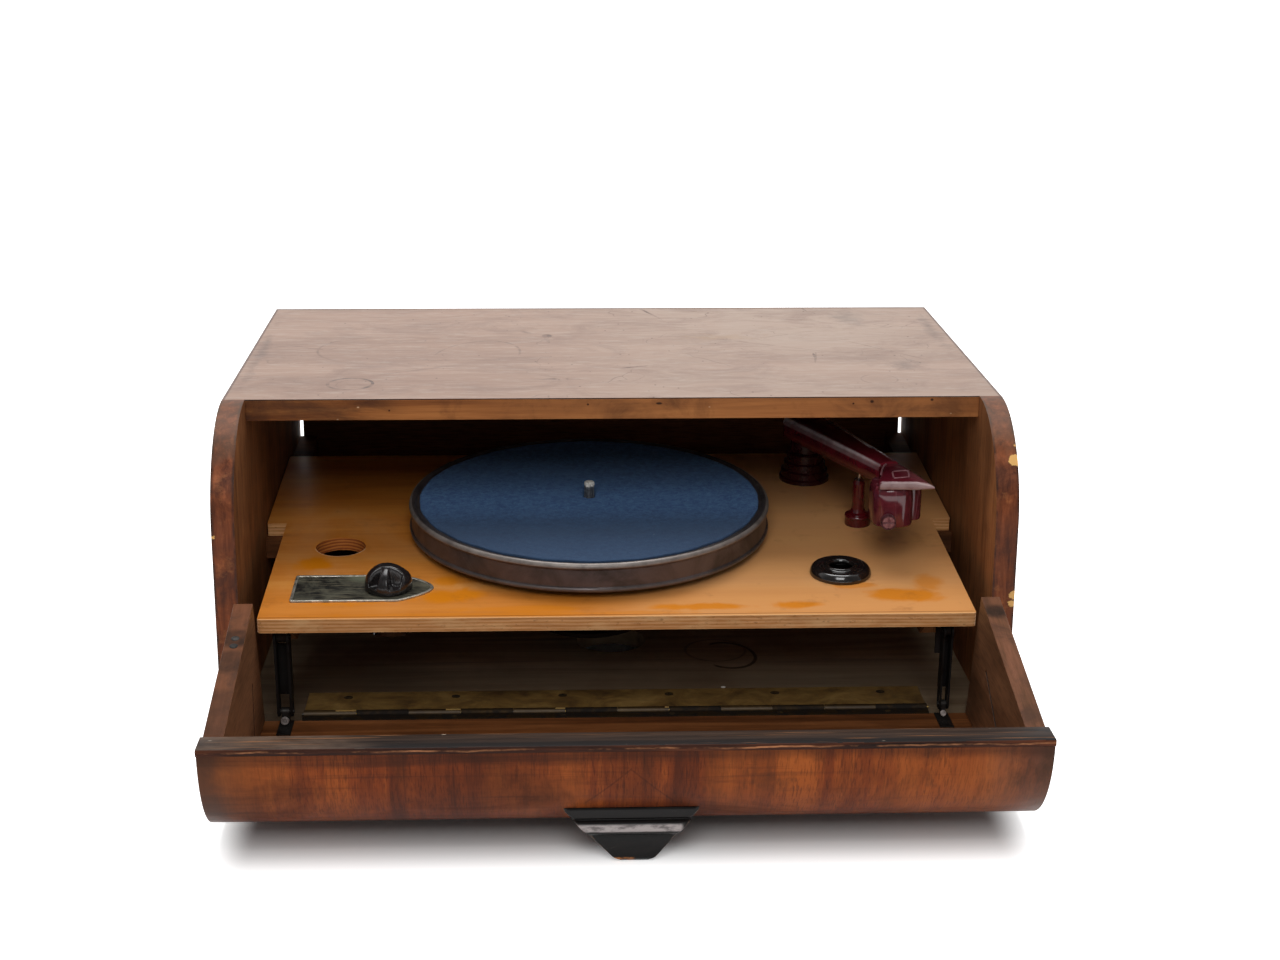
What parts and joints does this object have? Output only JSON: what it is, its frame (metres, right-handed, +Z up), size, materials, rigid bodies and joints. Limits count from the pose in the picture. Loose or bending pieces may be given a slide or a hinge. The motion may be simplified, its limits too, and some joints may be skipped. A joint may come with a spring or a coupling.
{
  "type": "table-top record player",
  "caption": "Wooden table-top electric record player: a curved front flap drops open and draws the motor board forward, with turntable, pick-up arm on a rest and switch.",
  "frame": {"origin": "on the table, under the middle of the outline with the flap open", "axes": "+X to the right, +Y to the back, +Z up; the flap opens towards -Y"},
  "size_m": [0.52, 0.5588, 0.218],
  "materials": {
    "side_veneer": "dark red-brown polished veneer",
    "top_veneer": "dusty pinkish-brown polished veneer with scratches",
    "inside_wood": "brown stained, matt",
    "pale_wood": "honey-coloured plywood, varnished",
    "back_board": "dark stained hardboard",
    "black_trim": "black-stained, rubbed at the edges",
    "brass_aged": "dull, tarnished",
    "steel_dark": "grey, oily",
    "steel_bright": "bright plated",
    "rubber_black": "matt",
    "bakelite_black": "polished",
    "bakelite_maroon": "polished",
    "platter_bronze": "bronze lacquer, worn bright on the bead",
    "felt_blue": "felt, dusty",
    "motor_winding": "varnished laminations"
  },
  "bodies": {
    "cabinet": {"side_left": "side_veneer", "side_right": "side_veneer", "top_panel": "top_veneer", "base_board": "inside_wood", "back_panel": "back_board", "runner_left": "inside_wood", "runner_right": "inside_wood", "glue_block_left": "pale_wood", "glue_block_right": "pale_wood", "foot_front_left": "rubber_black", "foot_front_right": "rubber_black", "foot_rear_left": "rubber_black", "foot_rear_right": "rubber_black", "cable_grommet": "rubber_black", "back_screws": "steel_bright", "hinge_leaf_rear": "brass_aged", "hinge_pin": "brass_aged", "hinge_screws_rear": "brass_aged"},
    "flap": {"hinge_leaf_front": "brass_aged", "hinge_screws_front": "brass_aged", "flap_floor": "side_veneer", "flap_curve": "side_veneer", "flap_lipping": "black_trim", "cheek_left": "inside_wood", "cheek_right": "inside_wood", "cheek_screws": "steel_bright", "flap_handle": "black_trim", "lug_left": "steel_dark", "lug_right": "steel_dark"},
    "board": {"motor_board": "pale_wood", "bracket_left": "steel_dark", "bracket_right": "steel_dark", "motor_frame": "steel_dark", "motor_stator": "motor_winding", "motor_bearing": "steel_dark", "motor_bolts": "steel_bright", "switch_plate": "black_trim", "switch_body": "bakelite_black", "needle_cup": "bakelite_black", "arm_base": "bakelite_maroon", "arm_rest_post": "bakelite_maroon", "arm_rest_pin": "steel_bright"},
    "lever_left": {"lever_left": "steel_dark"},
    "lever_right": {"lever_right": "steel_dark"},
    "turntable": {"platter": "platter_bronze", "felt_mat": "felt_blue", "spindle": "steel_bright"},
    "knob": {"switch_knob": "bakelite_black"},
    "swivel": {"arm_swivel": "bakelite_maroon"},
    "arm": {"tonearm": "bakelite_maroon", "arm_pin": "steel_bright", "head_body": "bakelite_maroon", "head_cap": "bakelite_maroon"},
    "thumb_screw": {"needle_screw": "bakelite_maroon"}
  },
  "joints": [
    {"name": "flap_hinge", "type": "hinge", "parent": "cabinet", "child": "flap", "pos_m": [0, -0.0806, 0.0195], "axis": [-1, 0, 0], "range_deg": [0, 90]},
    {"name": "board_slide", "type": "slide", "parent": "cabinet", "child": "board", "axis": [0, 0.9978, 0.0663], "range_m": [0, 0.048]},
    {"name": "lever_left_pivot", "type": "hinge", "parent": "board", "child": "lever_left", "pos_m": [-0.2165, -0.1006, 0.0816], "axis": [-1, 0, 0], "range_deg": [0, 27]},
    {"name": "lever_right_pivot", "type": "hinge", "parent": "board", "child": "lever_right", "pos_m": [0.2145, -0.1006, 0.0816], "axis": [-1, 0, 0], "range_deg": [0, 27]},
    {"name": "turntable_spin", "type": "hinge", "parent": "board", "child": "turntable", "pos_m": [-0.016, 0.03807, 0.10807], "axis": [0, -0.0663, 0.9978], "continuous": true},
    {"name": "switch_turn", "type": "hinge", "parent": "board", "child": "knob", "pos_m": [-0.15, -0.06521, 0.10121], "axis": [0, -0.0663, 0.9978], "range_deg": [-90, 0]},
    {"name": "arm_swing", "type": "hinge", "parent": "board", "child": "swivel", "pos_m": [0.1485, 0.14084, 0.1149], "axis": [0, -0.0663, 0.9978], "range_deg": [-57, 4]},
    {"name": "arm_lift", "type": "hinge", "parent": "swivel", "child": "arm", "pos_m": [0.1485, 0.13812, 0.15581], "axis": [-0.9603, -0.2784, -0.0185], "range_deg": [0, 10]},
    {"name": "needle_screw_turn", "type": "hinge", "parent": "arm", "child": "thumb_screw", "pos_m": [0.1816, -0.0482, 0.13942], "axis": [0, -0.9978, -0.0663], "range_deg": [-180, 180]}
  ],
  "couplings": [
    {"joint": "board_slide", "follows": "flap_hinge", "m_per_rad": 0.030557},
    {"joint": "lever_left_pivot", "follows": "flap_hinge", "ratio": 0.29678},
    {"joint": "lever_right_pivot", "follows": "flap_hinge", "ratio": 0.29678}
  ]
}
